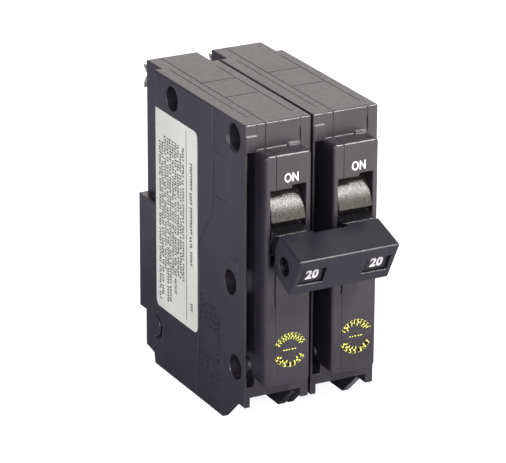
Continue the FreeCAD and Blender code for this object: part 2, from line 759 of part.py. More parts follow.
def build_trip_unit(side):
    """Load strap with the bimetal on it, the magnet yoke round that, and the armature."""
    strap = prism("strap_profile", "yz",
                  (("-strap_front", "-44.6"), ("-strap_front + strap_thick", "-44.6"),
                   ("-strap_front + strap_thick", "-30.4"), ("-41", "-30.4"), ("-41", "-31.6"),
                   ("-strap_front", "-31.6")), ("4.2", "14.4"))
    tapped = rod("tapped_hole", "y", "screw_radius + 0.05", ("-37", "-33"), ("mid_x", "-screw_z"))
    keep(cut(f"load_strap_{side}", strap, [tapped]), f"load_strap_{side}", side)

    bimetal = plate(f"bimetal_{side}", "xz",
                    (("mid_x - 3", "-30.4"), ("mid_x + 3", "-30.4"), ("mid_x + 3", "-12"),
                     ("mid_x + 2", "-9.5"), ("mid_x - 2", "-9.5"), ("mid_x - 3", "-12")),
                    ("-40.2", "-39.4"))
    keep(bimetal, f"bimetal_{side}", side)

    yoke = plate(f"magnet_yoke_{side}", "xy",
                 (("mid_x - 5", "-37.9"), ("mid_x - 5", "-42.3"), ("mid_x + 5", "-42.3"),
                  ("mid_x + 5", "-37.9"), ("mid_x + 3.7", "-37.9"), ("mid_x + 3.7", "-41"),
                  ("mid_x - 3.7", "-41"), ("mid_x - 3.7", "-37.9")), ("-28", "-17.5"))
    keep(yoke, f"magnet_yoke_{side}", side)

    blade = box("armature_blade", ("mid_x - 4.6", "mid_x + 4.6"), ("-36.6", "-35.6"), ("-27.6", "-3"))
    hook = box("armature_hook", ("mid_x - 2.2", "mid_x + 2.2"), ("-36.6", "-35.1"), ("-3.6", "-2.4"))
    eye_centre = ("-armature_y - 0.1", "-armature_z")
    eye = rod("armature_eye", "x", "0.9", ("mid_x - 4.6", "mid_x + 4.6"), eye_centre)
    keep(fuse(f"armature_{side}", [blade, hook, eye]), f"armature_{side}", side)

    stud = rod("calibration_shank", "z", "1.48", ("-35.6", "-31.7"), ("mid_x", "-38.4"))
    slot = box("calibration_slot", ("mid_x - 2", "mid_x + 2"), ("-38.7", "-38.1"), ("-36", "-34.9"))
    keep(cut(f"calibration_screw_{side}", stud, [slot]), f"calibration_screw_{side}", side)


def build_braid(side):
    """Flexible lead from the contact arm to the bimetal: a slack bow of tangent arcs."""
    lead_y = -41.15
    top_z = 13.1
    foot_z = -11.9
    bow_top = 8.0
    bow_height = 15.0
    bow = 1.9
    turn = 2 * math.atan(2 * bow / bow_height)
    radius = bow_height / (4 * math.sin(turn))

    def at(y, z):
        return Vector(0, lead_y - y, z)

    def lean(angle):
        """How far an arc of this angle has moved forwards and down."""
        return radius * (1 - math.cos(angle)), radius * math.sin(angle)

    half_y, half_z = lean(turn / 2)
    full_y, full_z = lean(turn)
    middle = bow_top - bow_height / 2
    foot = bow_top - bow_height
    out_arc = Part.Arc(at(0, bow_top), at(half_y, bow_top - half_z), at(full_y, bow_top - full_z))
    bow_arc = Part.Arc(at(full_y, middle + full_z), at(bow, middle), at(full_y, middle - full_z))
    back_arc = Part.Arc(at(full_y, foot + full_z), at(half_y, foot + half_z), at(0, foot))
    runs = [Part.LineSegment(at(0, top_z), at(0, bow_top)), out_arc, bow_arc, back_arc,
            Part.LineSegment(at(0, foot), at(0, foot_z))]
    path = Part.Wire([run.toShape() for run in runs])
    section = Part.Circle(at(0, top_z), Vector(0, 0, 1), size_of("braid_radius")).toShape()
    tube = path.makePipeShell([Part.Wire(section)], True, False)
    braid = doc.addObject("Part::Feature", f"braid_{side}")
    braid.Shape = tube
    braid.Placement = Placement()
    keep(braid, f"braid_{side}", side, "mid_x")


def build_trip_bar():
    """One insulating bar through both poles, with a finger behind each latch."""
    centre = ("-trip_bar_y", "-trip_bar_z")
    half = "pole_width + half_gap - 0.9"
    shaft = rod("trip_shaft", "x", "trip_bar_radius", (f"-({half})", half), centre)
    solids = [shaft]
    finger_y = ("-trip_bar_y - 0.9", "-trip_bar_y + 0.9")
    for offset in ("-pole_width - half_gap + 4.2", "half_gap + 4.2"):
        solids.append(box("trip_finger", (offset, f"{offset} + 2.2"), finger_y, ("-trip_bar_z", "-5.4")))
    keep(fuse("trip_bar", solids), "trip_bar")


# ---------------------------------------------------------------- load terminal

def build_terminal(side):
    """Slotted screw with a captive pressure plate that clamps a wire on each side of it."""
    centre = ("mid_x", "-screw_z")
    head = rod("screw_head", "y", "screw_head", ("-screw_front", "-plate_front - 0.1"), centre)
    head = round_edges("screw_head_rounded", head, 0.5, lambda b: near(b.YMax, -size_of("screw_front")))
    shank = rod("screw_shank", "y", "screw_radius", ("-plate_front - 0.5", "-33.4"), centre)
    slot_y = ("-screw_front - 1", "-screw_front + 1.1")
    slots = [
        box("screw_slot", ("mid_x - 4", "mid_x + 4"), slot_y, ("-screw_z - 0.5", "-screw_z + 0.5")),
        box("screw_cross", ("mid_x - 0.5", "mid_x + 0.5"), slot_y, ("-screw_z - 2", "-screw_z + 2")),
    ]
    screw = cut(f"terminal_screw_{side}", fuse("screw_solids", [head, shank]), slots)
    keep(screw, f"terminal_screw_{side}", side)

    back = "-plate_front + 1.1"
    profile = (
        ("2.2", "-plate_front + 1"), ("4", "-plate_front - 0.6"), ("5.6", "-plate_front"),
        ("13", "-plate_front"), ("14.2", "-plate_front - 0.6"), ("15.9", "-plate_front + 1"),
        ("15.9", f"{back} + 1"), ("14.2", f"{back} - 0.6"), ("13", back),
        ("5.6", back), ("4", f"{back} - 0.6"), ("2.2", f"{back} + 1"),
    )
    saddle = prism("saddle", "xy", profile, ("-44.2", "-36.5"))
    hole = rod("saddle_hole", "y", "screw_radius + 0.08", ("-50", "-40"), centre)
    keep(cut(f"pressure_plate_{side}", saddle, [hole]), f"pressure_plate_{side}", side)


# ---------------------------------------------------------------- shared pieces

def rivet(span, centre):
    """A shank with a tapered head at each end, just clear of the recess floors."""
    low, high = span
    shank = rod("rivet_shank", "x", "rivet_radius", (f"{low} - 0.1", f"{high} + 0.1"), centre)
    small = "rivet_head * 0.7"
    left_span = (f"{low} - rivet_head_height", f"{low} - 0.02")
    right_span = (f"{high} + 0.02", f"{high} + rivet_head_height")
    left = cone("rivet_head", "x", (small, "rivet_head"), left_span, centre)
    right = cone("rivet_head", "x", ("rivet_head", small), right_span, centre)
    return fuse("rivet", [shank, left, right])


def build_rivets():
    """Two long rivets hold the poles together, two short ones close each pole."""
    seat = "pole_width + half_gap - counterbore_depth"
    solids = [rivet((f"-({seat})", seat), centre) for centre in LONG_RIVETS]
    for centre in SHORT_RIVETS:
        solids.append(rivet((f"-({seat})", "-half_gap - counterbore_depth"), centre))
        solids.append(rivet(("half_gap + counterbore_depth", seat), centre))
    keep(fuse("case_rivets", solids), "case_rivets")


def build_side_label():
    sticker = box("side_label_blank", ("-pole_width - half_gap - 0.1", "-pole_width - half_gap"),
                  ("-34.3", "-10.6"), ("-27.8", "27.3"))

    def is_cut_corner(bounds):
        corner = bounds.XLength > 0.05 and bounds.YLength < 0.01 and bounds.ZLength < 0.01
        square_one = bounds.ZMin > 0 and bounds.YMin > -20
        return corner and not square_one

    keep(round_edges("side_label", sticker, 1.8, is_cut_corner), "side_label")


for side in ("left", "right"):
    build_case(side)
    build_line_jaw(side)
    build_jaw_spring(side)
    build_line_strap(side)
    build_fixed_contact(side)
    build_arc_chute(side)
    build_handle(side)
    build_contact_arm(side)
    build_cradle(side)
    build_toggle_spring(side)
    build_trip_unit(side)
    build_braid(side)
    build_terminal(side)
build_handle_tie()
build_trip_bar()
build_rivets()
build_side_label()

doc.recompute()
for thing in doc.Objects:
    if "Invalid" in thing.State or "Error" in thing.State:
        raise RuntimeError(f"{thing.Label} failed: {thing.State}")

os.makedirs("parts", exist_ok=True)
for thing in subparts:
    shape = thing.Shape
    if shape.isNull() or not shape.isValid():
        raise RuntimeError(f"{thing.Label} has no valid shape")
    shape.exportStep(os.path.join("parts", f"{thing.Label}.step"))
    print(thing.Label, len(shape.Solids), round(shape.Volume, 1))
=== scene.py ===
import json
import math
import random

import bmesh
import bpy
from mathutils import Matrix, Vector


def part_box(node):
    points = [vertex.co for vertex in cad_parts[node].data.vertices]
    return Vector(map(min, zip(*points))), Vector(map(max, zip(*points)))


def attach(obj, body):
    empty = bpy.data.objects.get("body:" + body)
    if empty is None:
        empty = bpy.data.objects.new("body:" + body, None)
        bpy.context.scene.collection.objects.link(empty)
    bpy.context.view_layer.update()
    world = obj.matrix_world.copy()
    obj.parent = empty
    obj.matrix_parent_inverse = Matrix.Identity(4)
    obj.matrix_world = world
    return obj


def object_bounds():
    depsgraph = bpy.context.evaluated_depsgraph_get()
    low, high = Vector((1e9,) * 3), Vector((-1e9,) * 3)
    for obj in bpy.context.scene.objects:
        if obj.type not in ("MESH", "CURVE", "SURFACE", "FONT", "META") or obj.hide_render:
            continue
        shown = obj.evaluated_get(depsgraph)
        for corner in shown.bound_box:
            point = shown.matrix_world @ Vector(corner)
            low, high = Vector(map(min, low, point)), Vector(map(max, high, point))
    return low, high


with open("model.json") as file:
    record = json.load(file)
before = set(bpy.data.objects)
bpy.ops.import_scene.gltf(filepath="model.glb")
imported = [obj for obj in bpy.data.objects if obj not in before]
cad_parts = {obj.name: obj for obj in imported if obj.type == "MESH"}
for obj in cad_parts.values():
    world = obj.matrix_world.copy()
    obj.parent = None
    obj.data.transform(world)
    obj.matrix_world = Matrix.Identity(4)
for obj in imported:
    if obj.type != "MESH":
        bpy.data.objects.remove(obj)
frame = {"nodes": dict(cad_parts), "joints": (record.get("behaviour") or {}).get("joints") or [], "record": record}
cad_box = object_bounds()
nodes = frame["nodes"]

# Lengths are in metres, written as millimetres times MM.
MM = 0.001
SIDES = ("left", "right")
REST_TILT = math.radians(22.5)
PANEL_STEP = 0.18 * MM

# Faces and centres that the marks are placed from.
handle_box = {side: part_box(f"handle_{side}") for side in SIDES}
nose_front = min(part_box(f"case_base_{side}")[0].y for side in SIDES)
label_low, label_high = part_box("side_label")
panel_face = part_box("case_cover_left")[0].x + PANEL_STEP
top_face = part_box("case_base_left")[1].z
pivot = next(Vector(joint["pos_m"]) for joint in frame["joints"] if joint["name"] == "handle_swing")


# ------------------------------------------------------------------ node helpers

# Features per metre in each noise.
MOTTLE_SCALE = 90
FLECK_SCALE = 2600
POLISH_SCALE = 700
GRAIN_SCALE = 3200
PIT_SCALE = 2300
PIT_POLISH_SCALE = 2700
DRAWN_SCALE = 1500
STAIN_SCALE = 220
INK_WEAR_SCALE = 1800
INK_POLISH_SCALE = 900
INK_GRAIN_SCALE = 2500
PAPER_TONE_SCALE = 60
SMUDGE_SCALE = 260
FIBRE_SCALE = 1500

# Depths and radii of the shaded relief.
GRAIN_DEPTH = 0.06 * MM
PIT_DEPTH = 0.12 * MM
METAL_DEPTH = 0.04 * MM
PAPER_DEPTH = 0.04 * MM
INK_DEPTH = 0.03 * MM
WORN_RADIUS = 0.35 * MM
SHARP_TURN = 0.8
FLAT_TURN = 0.99


class Shader:
    """A small wrapper that adds nodes to one material and links them by socket name."""

    def __init__(self, name):
        self.material = bpy.data.materials.new(name)
        self.material.use_nodes = True
        self.tree = self.material.node_tree
        self.bsdf = self.tree.nodes["Principled BSDF"]
        self.coords = self.add("ShaderNodeTexCoord").outputs["Object"]

    def add(self, kind, **settings):
        node = self.tree.nodes.new(kind)
        for key, value in settings.items():
            setattr(node, key, value)
        return node

    def link(self, source, target):
        self.tree.links.new(source, target)

    def noise(self, scale, detail=4.0, roughness=0.55, stretch=None):
        """Fractal noise; scale is features per metre."""
        node = self.add("ShaderNodeTexNoise")
        node.inputs["Scale"].default_value = scale
        node.inputs["Detail"].default_value = detail
        node.inputs["Roughness"].default_value = roughness
        source = self.coords
        if stretch:
            mapping = self.add("ShaderNodeMapping")
            mapping.inputs["Scale"].default_value = stretch
            self.link(self.coords, mapping.inputs["Vector"])
            source = mapping.outputs["Vector"]
        self.link(source, node.inputs["Vector"])
        return node.outputs["Fac"]

    def span(self, source, low, high, start=0.0, end=1.0):
        """Map start..end of the source to low..high, clamped."""
        node = self.add("ShaderNodeMapRange")
        node.inputs["From Min"].default_value = start
        node.inputs["From Max"].default_value = end
        node.inputs["To Min"].default_value = low
        node.inputs["To Max"].default_value = high
        self.link(source, node.inputs["Value"])
        return node.outputs["Result"]

    def mix(self, factor, first, second):
        node = self.add("ShaderNodeMix", data_type="RGBA")
        self.link(factor, node.inputs["Factor"])
        for value, socket in ((first, node.inputs["A"]), (second, node.inputs["B"])):
            if isinstance(value, tuple):
                socket.default_value = (*value, 1.0)
            else:
                self.link(value, socket)
        return node.outputs["Result"]

    def along(self, source, direction):
        """How far a vector reaches along a direction."""
        node = self.add("ShaderNodeVectorMath", operation="DOT_PRODUCT")
        self.link(source, node.inputs[0])
        node.inputs[1].default_value = direction
        return node.outputs["Value"]

    def edges(self, radius):
        """White where the surface turns sharply, from the bevelled normal's deviation."""
        bevel = self.add("ShaderNodeBevel", samples=4)
        bevel.inputs["Radius"].default_value = radius
        geometry = self.add("ShaderNodeNewGeometry")
        dot = self.add("ShaderNodeVectorMath", operation="DOT_PRODUCT")
        self.link(bevel.outputs["Normal"], dot.inputs[0])
        self.link(geometry.outputs["Normal"], dot.inputs[1])
        return self.span(dot.outputs["Value"], 1.0, 0.0, SHARP_TURN, FLAT_TURN)

    def bump(self, height, strength, distance, soften=None):
        """Shaded relief; soften is the radius that the edges are rounded to."""
        node = self.add("ShaderNodeBump")
        node.inputs["Strength"].default_value = strength
        node.inputs["Distance"].default_value = distance
        self.link(height, node.inputs["Height"])
        if soften:
            bevel = self.add("ShaderNodeBevel", samples=6)
            bevel.inputs["Radius"].default_value = soften
            self.link(bevel.outputs["Normal"], node.inputs["Normal"])
        self.link(node.outputs["Normal"], self.bsdf.inputs["Normal"])

    def colour(self, source):
        self.link(source, self.bsdf.inputs["Base Color"])

    def rough(self, source):
        self.link(source, self.bsdf.inputs["Roughness"])

    def gloss(self, level):
        self.bsdf.inputs["Specular IOR Level"].default_value = level


# ------------------------------------------------------------------ materials

def moulded(name, dark, light, worn, rough, grain=0.35, soften=0.22 * MM, gloss=0.5):
    """Moulded plastic: faint mottling, fine grain, slightly rubbed edges, satin finish."""
    shader = Shader(name)
    cloud = shader.noise(MOTTLE_SCALE, 5)
    speck = shader.noise(FLECK_SCALE, 3, 0.6)
    base = shader.mix(shader.span(cloud, 0.0, 1.0, 0.35, 0.65), dark, light)
    base = shader.mix(shader.span(speck, 0.0, 0.16, 0.62, 0.8), base, worn)
    rubbed = shader.add("ShaderNodeMath", operation="MULTIPLY")
    shader.link(shader.edges(WORN_RADIUS), rubbed.inputs[0])
    shader.link(shader.span(cloud, 0.1, 0.6, 0.3, 0.7), rubbed.inputs[1])
    shader.colour(shader.mix(rubbed.outputs["Value"], base, worn))
    shader.rough(shader.span(shader.noise(POLISH_SCALE, 4), rough - 0.04, rough + 0.05, 0.3, 0.7))
    shader.gloss(gloss)
    shader.bump(shader.noise(GRAIN_SCALE, 3, 0.6), grain, GRAIN_DEPTH, soften)
    return shader.material


def sparked_plastic(name, light, bright, dark, ledge_half):
    """Handle plastic: a coarse spark-eroded barrel; the smooth ledge and tongue in its middle are painted dark, as
    painted shade under the barrel.

    The ledge is the band within ledge_half of the handle's own centre plane.
    """
    shader = Shader(name)
    reach = shader.add("ShaderNodeVectorMath", operation="SUBTRACT")
    shader.link(shader.coords, reach.inputs[0])
    reach.inputs[1].default_value = pivot
    handle_up = Matrix.Rotation(REST_TILT, 3, "X") @ Vector((0, 0, 1))
    height = shader.add("ShaderNodeMath", operation="ABSOLUTE")
    shader.link(shader.along(reach.outputs["Vector"], handle_up), height.inputs[0])
    border = (ledge_half - 0.15 * MM, ledge_half - 0.05 * MM)
    ledge_shade_mask = shader.span(height.outputs["Value"], 1.0, 0.0, *border)
    pits = shader.noise(PIT_SCALE, 4, 0.7)
    base = shader.mix(shader.span(pits, 0.0, 1.0, 0.40, 0.62), light, bright)
    # The dark colour on the ledge band is painted shade, standing for the shade cast by the overhanging barrel.
    shader.colour(shader.mix(ledge_shade_mask, base, dark))
    shader.rough(shader.span(shader.noise(PIT_POLISH_SCALE, 3, 0.7), 0.20, 0.40, 0.38, 0.62))
    shader.gloss(0.36)
    shader.bump(pits, 0.75, PIT_DEPTH, soften=0.35 * MM)
    return shader.material


def metal(name, dark, light, rough, stretch=(1, 1, 1), tarnish=None):
    """Sheet metal with drawn lines, uneven polish and darker stains."""
    shader = Shader(name)
    lines = shader.noise(DRAWN_SCALE, 3, 0.6, stretch)
    base = shader.mix(lines, dark, light)
    if tarnish:
        stain = shader.span(shader.noise(STAIN_SCALE, 6, 0.65), 0.0, 0.8, 0.52, 0.72)
        base = shader.mix(stain, base, tarnish)
    shader.colour(base)
    shader.bsdf.inputs["Metallic"].default_value = 1.0
    shader.rough(shader.span(lines, rough - 0.08, rough + 0.12, 0.3, 0.7))
    shader.bump(lines, 0.15, METAL_DEPTH, soften=0.15 * MM)
    return shader.material


def ink(name, colour, faded):
    """Printed ink: slightly thin in places, matt, with a faint raised grain."""
    shader = Shader(name)
    thin = shader.span(shader.noise(INK_WEAR_SCALE, 5, 0.65), 0.0, 0.55, 0.5, 0.75)
    shader.colour(shader.mix(thin, colour, faded))
    shader.rough(shader.span(shader.noise(INK_POLISH_SCALE), 0.45, 0.65))
    shader.bump(shader.noise(INK_GRAIN_SCALE), 0.2, INK_DEPTH)
    return shader.material


def paper(name, dark, light, smudged):
    """Coated paper sticker: faint fibres and handling marks."""
    shader = Shader(name)
    cloud = shader.noise(PAPER_TONE_SCALE, 5)
    base = shader.mix(shader.span(cloud, 0.0, 1.0, 0.35, 0.65), dark, light)
    smudge = shader.span(shader.noise(SMUDGE_SCALE, 6, 0.7), 0.0, 0.35, 0.58, 0.75)
    shader.colour(shader.mix(smudge, base, smudged))
    shader.rough(shader.span(cloud, 0.35, 0.5))
    shader.bump(shader.noise(FIBRE_SCALE, 4, stretch=(1, 1, 0.3)), 0.12, PAPER_DEPTH)
    return shader.material


# Metals: dark and light tone, roughness, how the drawn lines are stretched, and tarnish.
METALS = {
    "tinned_copper": ((0.50, 0.48, 0.44), (0.70, 0.67, 0.60), 0.38, (1, 8, 8), (0.30, 0.27, 0.22)),
    "copper": ((0.62, 0.31, 0.17), (0.80, 0.47, 0.30), 0.32, (8, 1, 8), (0.35, 0.17, 0.10)),
    "copper_braid": ((0.45, 0.21, 0.11), (0.78, 0.44, 0.27), 0.42, (1, 1, 4)),
    "silver_contact": ((0.70, 0.68, 0.64), (0.86, 0.84, 0.80), 0.28, (4, 4, 1), (0.45, 0.40, 0.30)),
    "plated_steel": ((0.42, 0.42, 0.42), (0.58, 0.58, 0.57), 0.36, (1, 6, 1), (0.34, 0.33, 0.30)),
    "zinc_steel": ((0.50, 0.47, 0.38), (0.66, 0.62, 0.50), 0.34, (6, 1, 6), (0.38, 0.33, 0.22)),
    "spring_steel": ((0.22, 0.22, 0.23), (0.38, 0.38, 0.39), 0.34, (1, 1, 5), (0.16, 0.14, 0.12)),
    # rivet_steel is near-black as painted shade: its heads sit deep in holes and grooves and show as dark as the
    # shade there.
    "rivet_steel": ((0.045, 0.045, 0.05), (0.10, 0.10, 0.105), 0.45, (1, 4, 4), (0.03, 0.028, 0.026)),
    "bimetal": ((0.45, 0.42, 0.38), (0.62, 0.58, 0.52), 0.36, (6, 1, 1), (0.40, 0.30, 0.18)),
}

materials = {name: metal(name, *look) for name, look in METALS.items()}
materials["case_plastic"] = moulded(
    "case_plastic", dark=(0.0096, 0.0083, 0.0112), light=(0.0145, 0.0127, 0.0162),
    worn=(0.130, 0.120, 0.115), rough=0.35, grain=0.16, soften=0.5 * MM)
# The handle's dark colour is painted shade on the ledge and tongue under the barrel.
materials["handle_plastic"] = sparked_plastic(
    "handle_plastic", light=(0.010, 0.009, 0.008), bright=(0.042, 0.039, 0.033),
    dark=(0.0022, 0.0019, 0.0026), ledge_half=5.5 * MM)
materials["tie_plastic"] = moulded(
    "tie_plastic", dark=(0.0040, 0.0036, 0.0060), light=(0.0062, 0.0056, 0.0090),
    worn=(0.090, 0.085, 0.100), rough=0.40, soften=0.5 * MM, gloss=0.42)
materials["fibre"] = moulded(
    "fibre", dark=(0.20, 0.075, 0.045), light=(0.27, 0.11, 0.065),
    worn=(0.36, 0.19, 0.12), rough=0.62)
materials["label_paper"] = paper(
    "label_paper", dark=(0.49, 0.50, 0.43), light=(0.55, 0.56, 0.485),
    smudged=(0.40, 0.41, 0.355))

# Painted shade: this plastic, darker than the case, colours the side marks and the top seam strips in place of the
# shade around their relief.
MARKS_SHADE = moulded(
    "marks_painted_shade", dark=(0.0035, 0.0030, 0.0050), light=(0.0060, 0.0050, 0.0080),
    worn=(0.020, 0.018, 0.022), rough=0.62)
WHITE_INK = ink("white_ink", (0.55, 0.55, 0.54), (0.34, 0.33, 0.32))
YELLOW_INK = ink("yellow_ink", (0.50, 0.48, 0.085), (0.28, 0.27, 0.06))
# WINDOW_SHADE is painted shade: a dark plate deep in each rating window.
WINDOW_SHADE = ink("window_painted_shade", (0.0030, 0.0028, 0.0036), (0.0075, 0.0070, 0.0080))
BLACK_INK = ink("label_ink", (0.035, 0.035, 0.038), (0.13, 0.13, 0.12))

for part in frame["record"]["subparts"]:
    mesh = nodes[part["node"]].data
    mesh.materials.clear()
    mesh.materials.append(materials[part["material_slot"]])


# ------------------------------------------------------------------ mark shapes

RIGHT = Vector((1, 0, 0))
BACK = Vector((0, 1, 0))
DOWN = Vector((0, 0, -1))
INK_THICK = 0.03 * MM


def add_piece(name, mesh, material, body, place=None):
    mesh.materials.clear()
    mesh.materials.append(material)
    piece = bpy.data.objects.new(name, mesh)
    bpy.context.scene.collection.objects.link(piece)
    if place:
        piece.matrix_world = place
    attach(piece, body)


def finished_mesh(bm, name):
    """The mesh that a bmesh has been drawn into."""
    mesh = bpy.data.meshes.new(name)
    bm.to_mesh(mesh)
    bm.free()
    return mesh


def facing_front(x, y, z, tilt=0.0):
    """Place a flat mark so that it faces -Y, tipped down by tilt."""
    return Matrix.Translation((x, y, z)) @ Matrix.Rotation(math.pi / 2 + tilt, 4, "X")


def block(bm, centre, along, across, size):
    """A thin chip of length, width and thickness, laid along two directions."""
    up = along.cross(across)
    turn = Matrix((along, across, up)).transposed().to_4x4()
    shape = Matrix.Diagonal((*size, 1.0))
    bmesh.ops.create_cube(bm, size=1.0, matrix=Matrix.Translation(centre) @ turn @ shape)


def arc_chip(bm, inner, outer, start, end):
    """A curved chip of ink between two radii and two angles."""
    steps = 5
    rings = []
    for level in (-INK_THICK / 2, INK_THICK / 2):
        for radius in (inner, outer):
            angles = [start + (end - start) * i / steps for i in range(steps + 1)]
            points = [(radius * math.cos(a), radius * math.sin(a), level) for a in angles]
            rings.append([bm.verts.new(point) for point in points])
    low_in, low_out, high_in, high_out = rings
    for i in range(steps):
        bm.faces.new((high_in[i], high_out[i], high_out[i + 1], high_in[i + 1]))
        bm.faces.new((low_in[i + 1], low_out[i + 1], low_out[i], low_in[i]))
        bm.faces.new((low_out[i], low_out[i + 1], high_out[i + 1], high_out[i]))
        bm.faces.new((low_in[i + 1], low_in[i], high_in[i], high_in[i + 1]))
    bm.faces.new((low_in[0], low_out[0], high_out[0], high_in[0]))
    bm.faces.new((low_out[-1], low_in[-1], high_in[-1], high_out[-1]))


def plate_mesh(width, height):
    """A thin rectangular chip in the XY plane, used as the painted shade behind the rating digits."""
    bm = bmesh.new()
    bmesh.ops.create_cube(bm, size=1.0, matrix=Matrix.Diagonal((width, height, INK_THICK, 1.0)))
    return finished_mesh(bm, "plate")


def text_mesh(words, width, height, weight):
    """Bold lettering as a thin mesh, centred, facing +Z, scaled to a width and height."""
    half_depth = 0.01
    curve = bpy.data.curves.new("lettering", "FONT")
    curve.body = words
    curve.align_x = "CENTER"
    curve.align_y = "CENTER"
    curve.space_character = 1.08
    curve.offset = weight
    curve.extrude = half_depth
    curve.resolution_u = 6
    holder = bpy.data.objects.new("lettering", curve)
    bpy.context.scene.collection.objects.link(holder)
    bpy.context.view_layer.update()
    evaluated = holder.evaluated_get(bpy.context.evaluated_depsgraph_get())
    mesh = bpy.data.meshes.new_from_object(evaluated)
    bpy.data.objects.remove(holder)
    xs = [vertex.co.x for vertex in mesh.vertices]
    ys = [vertex.co.y for vertex in mesh.vertices]
    middle = Vector(((max(xs) + min(xs)) / 2, (max(ys) + min(ys)) / 2, 0))
    scale = (width / (max(xs) - min(xs)), height / (max(ys) - min(ys)), INK_THICK / (2 * half_depth))
    mesh.transform(Matrix.Diagonal((*scale, 1.0)) @ Matrix.Translation(-middle))
    return mesh


# ------------------------------------------------------------------ marks on the noses and the tie

RING_OUTER = 4.65 * MM
RING_INNER = 2.85 * MM
FOOT_STROKE = 0.62 * MM
CROWN_STROKE = 0.6 * MM
STEM_SHARE = 0.56
RING_ARCS = ((0.12, 0.88, 10), (1.12, 1.88, 7))
RING_DASHES = (-1.7, -0.95, -0.2, 0.75, 1.5)
RING_DASH_WIDTH = 0.26 * MM


def ring_mesh(seed):
    """A generic ring of letter-sized strokes with small dashes across it, nothing legible.

    Each arc runs between two angles, in half turns, and holds a number of strokes.
    """
    rng = random.Random(seed)
    bm = bmesh.new()
    for start, end, count in RING_ARCS:
        step = (end - start) * math.pi / count
        for i in range(count):
            at = start * math.pi + i * step
            width = step * rng.uniform(0.66, 0.8)
            inset = RING_INNER + rng.choice((0.0, 0.0, 0.35, 0.6)) * MM
            crown = at + width * rng.uniform(0.7, 1.0)
            arc_chip(bm, inset, inset + FOOT_STROKE, at, at + width)
            arc_chip(bm, RING_OUTER - CROWN_STROKE, RING_OUTER, at, crown)
            arc_chip(bm, inset, RING_OUTER - 0.1 * MM, at, at + width * STEM_SHARE)
    for x in RING_DASHES:
        size = (rng.uniform(0.35, 0.5) * MM, RING_DASH_WIDTH, INK_THICK)
        block(bm, Vector((x * MM, 0.1 * MM, 0)), RIGHT, BACK, size)
    return finished_mesh(bm, "ring_marks")


MARK_SHIFT = 0.85 * MM
ON_Z = 23.9 * MM
ON_SIZE = (3.9 * MM, 2.4 * MM)
RING_Z = -22.25 * MM
FIRST_RING_SEED = 7

# The rating windows sit on the front ends of the handles' tongues, which tilt with the handles.
TONGUE_REACH = 22.4 * MM
RATING_DROP = 0.4 * MM
RATING_OFFSET = 9.1 * MM
RATING_SHIFT = 0.35 * MM
RATING_SHADE_SIZE = (5.6 * MM, 4.6 * MM)
RATING_DIGITS = (3.6 * MM, 3.0 * MM)
rating_reach = Vector((0, -TONGUE_REACH - INK_THICK, -RATING_DROP))
rating_centre = pivot + Matrix.Rotation(REST_TILT, 3, "X") @ rating_reach
nose_surface = nose_front - INK_THICK * 0.4

for index, side in enumerate(SIDES):
    low, high = handle_box[side]
    centre_x = (low.x + high.x) / 2
    mark_x = centre_x + MARK_SHIFT
    add_piece(f"on_mark_{side}", text_mesh("ON", *ON_SIZE, weight=0.02), WHITE_INK, "case",
              facing_front(mark_x, nose_surface, ON_Z))
    add_piece(f"ring_mark_{side}", ring_mesh(FIRST_RING_SEED + index), YELLOW_INK, "case",
              facing_front(mark_x, nose_surface, RING_Z))
    rating_x = math.copysign(RATING_OFFSET, centre_x) + RATING_SHIFT
    window = facing_front(rating_x, rating_centre.y, rating_centre.z, REST_TILT)
    # Painted shade: a dark plate behind each 20 stands in for the shade in the window's recess.
    add_piece(f"rating_shade_{side}", plate_mesh(*RATING_SHADE_SIZE), WINDOW_SHADE, "handle",
              window)
    add_piece(f"rating_mark_{side}", text_mesh("20", *RATING_DIGITS, weight=0.045), WHITE_INK, "handle",
              window @ Matrix.Translation((0, 0, INK_THICK)))


# ------------------------------------------------------------------ marks on the case

# The sticker reads sideways: its lines run down -Z and follow one another along +Y.
RULE_INSET = 6.1 * MM
RULE_WIDTH = 0.26 * MM
RULE_MARGIN = 3.0 * MM
TOP_MARGIN = 6.5 * MM
ROWS = 10
FIRST_ROW = 1.9
ROW_PITCH = 1.48
ROW_LETTER = (0.92 * MM, 1.08 * MM)
HEADINGS = ((18.0, -11.0), (-20.5, -24.5))
HEADING_LEAD = 2.6 * MM
HEADING_LETTER = (1.0 * MM, 1.35 * MM)


def label_print():
    """Greeked lines on the sticker: rows of letter-sized chips that spell nothing."""
    rng = random.Random(41)
    bm = bmesh.new()
    face = label_low.x - INK_THICK * 0.3

    def chip(y, z, length, width):
        block(bm, Vector((face, y, z)), DOWN, BACK, (length, width, INK_THICK))

    def letter_chips(y, z, letter, weight):
        """A stem and a bar, whose proportions are drawn at random."""
        if rng.random() < 0.5:
            chip(y, z - letter * 0.15, letter * 0.3, weight)
            bar_y = y + rng.choice((-0.35, 0.0, 0.35)) * weight
            chip(bar_y, z - letter * 0.4, letter * 0.5, weight * 0.34)
        else:
            chip(y, z - letter * 0.3, letter * 0.28, weight * rng.uniform(0.7, 1.0))
            chip(y - 0.36 * weight, z - letter * 0.35, letter * 0.65, weight * 0.3)

    def line(y, top, bottom, letter, weight):
        """One line of words from top to bottom at this y."""
        z = top
        while z > bottom:
            for _ in range(rng.randint(2, 9)):
                if z - letter < bottom:
                    return
                letter_chips(y, z, letter, weight)
                z -= letter * 0.82
            z -= letter * 0.7

    front_rule = label_low.y + RULE_INSET
    chip(front_rule, 0.0, label_high.z - label_low.z - RULE_MARGIN, RULE_WIDTH)
    top = label_high.z - TOP_MARGIN
    for row in range(ROWS):
        y = front_rule + (FIRST_ROW + row * ROW_PITCH) * MM
        end = label_low.z + (2.0 + rng.choice((0.0, 0.5, 3.0, 9.0))) * MM
        line(y, top - rng.choice((0.0, 0.0, 2.0)) * MM, end, *ROW_LETTER)
    for start, end in HEADINGS:
        line(front_rule - HEADING_LEAD, start * MM, end * MM, *HEADING_LETTER)
    return finished_mesh(bm, "label_print")


